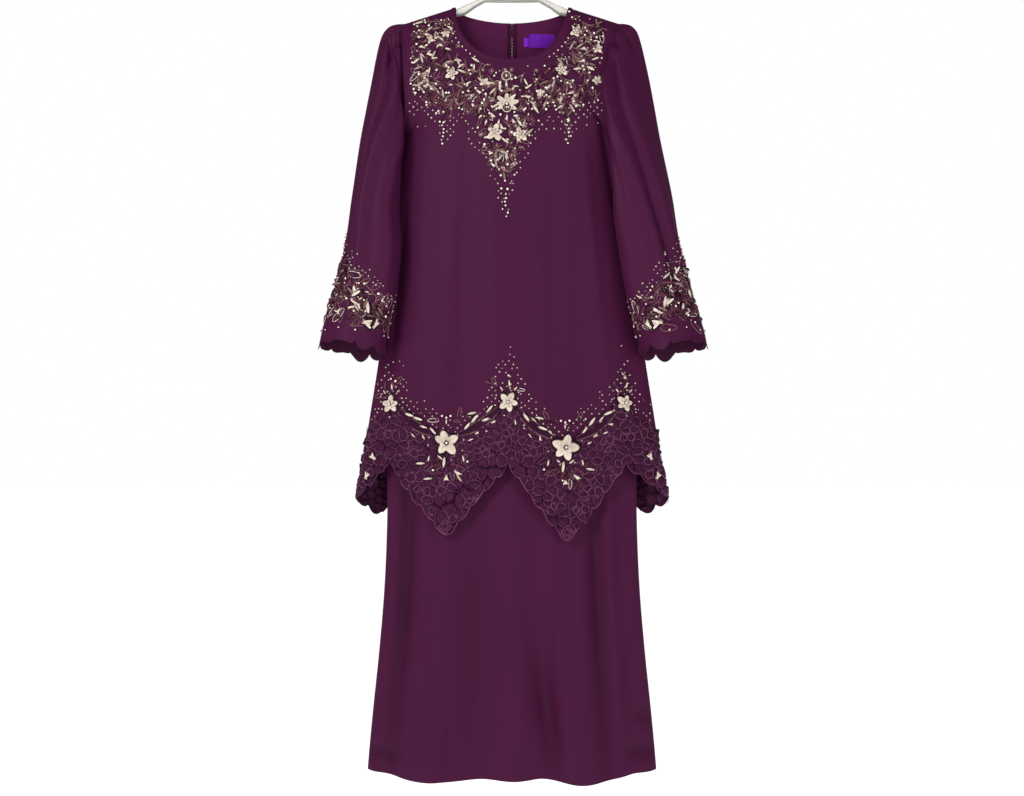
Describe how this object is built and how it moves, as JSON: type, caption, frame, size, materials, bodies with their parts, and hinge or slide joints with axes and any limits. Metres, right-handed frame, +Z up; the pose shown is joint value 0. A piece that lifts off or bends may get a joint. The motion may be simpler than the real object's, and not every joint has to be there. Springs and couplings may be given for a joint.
{
  "type": "baju kurung on hanger",
  "caption": "Embroidered long-sleeved tunic over a long skirt, hanging open and hollow on a plastic coat hanger that a rail carries by its hook.",
  "frame": {"origin": "top of the inside of the hanger's hook, where a rail carries it", "axes": "+Z up, front of the garment towards -Y, +X to the right as seen from the front"},
  "size_m": [0.6856, 0.1769, 1.489],
  "materials": {
    "crepe": "soft sheen crepe",
    "lace": "corded lace",
    "applique": "satin applique",
    "cord": "satin cord",
    "plastic": "moulded, satin",
    "steel": "plated",
    "zip": "woven tape",
    "label": "satin ribbon, bare"
  },
  "bodies": {
    "garment": {"cuff_flower_left_back": "applique", "cuff_flower_left_front": "applique", "cuff_flower_right_back": "applique", "cuff_flower_right_front": "applique", "cuff_left": "lace", "cuff_right": "lace", "hanger_body": "plastic", "hanger_hook": "steel", "hanging_ribbon_left": "crepe", "hanging_ribbon_right": "crepe", "hem_flower_back_1": "applique", "hem_flower_back_2": "applique", "hem_flower_back_3": "applique", "hem_flower_back_4": "applique", "hem_flower_back_5": "applique", "hem_flower_front_1": "applique", "hem_flower_front_2": "applique", "hem_flower_front_3": "applique", "hem_flower_front_4": "applique", "hem_flower_front_5": "applique", "hem_lace_back_left": "lace", "hem_lace_back_right": "lace", "hem_lace_front": "lace", "neck_binding_back_left": "crepe", "neck_binding_back_right": "crepe", "neck_binding_front": "crepe", "neck_label": "label", "size_tab": "label", "skirt_back": "crepe", "skirt_front": "crepe", "sleeve_left": "crepe", "sleeve_right": "crepe", "swag_back_1": "cord", "swag_back_2": "cord", "swag_back_3": "cord", "swag_back_4": "cord", "swag_front_1": "cord", "swag_front_2": "cord", "swag_front_3": "cord", "swag_front_4": "cord", "tunic_back_left": "crepe", "tunic_back_right": "crepe", "tunic_front": "crepe", "waistband": "crepe", "yoke_flower_1": "applique", "yoke_flower_2": "applique", "yoke_flower_3": "applique", "yoke_flower_4": "applique", "yoke_flower_5": "applique", "zip_slider": "steel", "zip_tape_left": "zip", "zip_tape_right": "zip"},
    "pull": {"zip_pull": "steel"}
  },
  "joints": [
    {"name": "pull_swing", "type": "hinge", "parent": "garment", "child": "pull", "pos_m": [0, 0.03211, -0.14893], "axis": [1, 0, 0], "range_deg": [0, 150]}
  ]
}
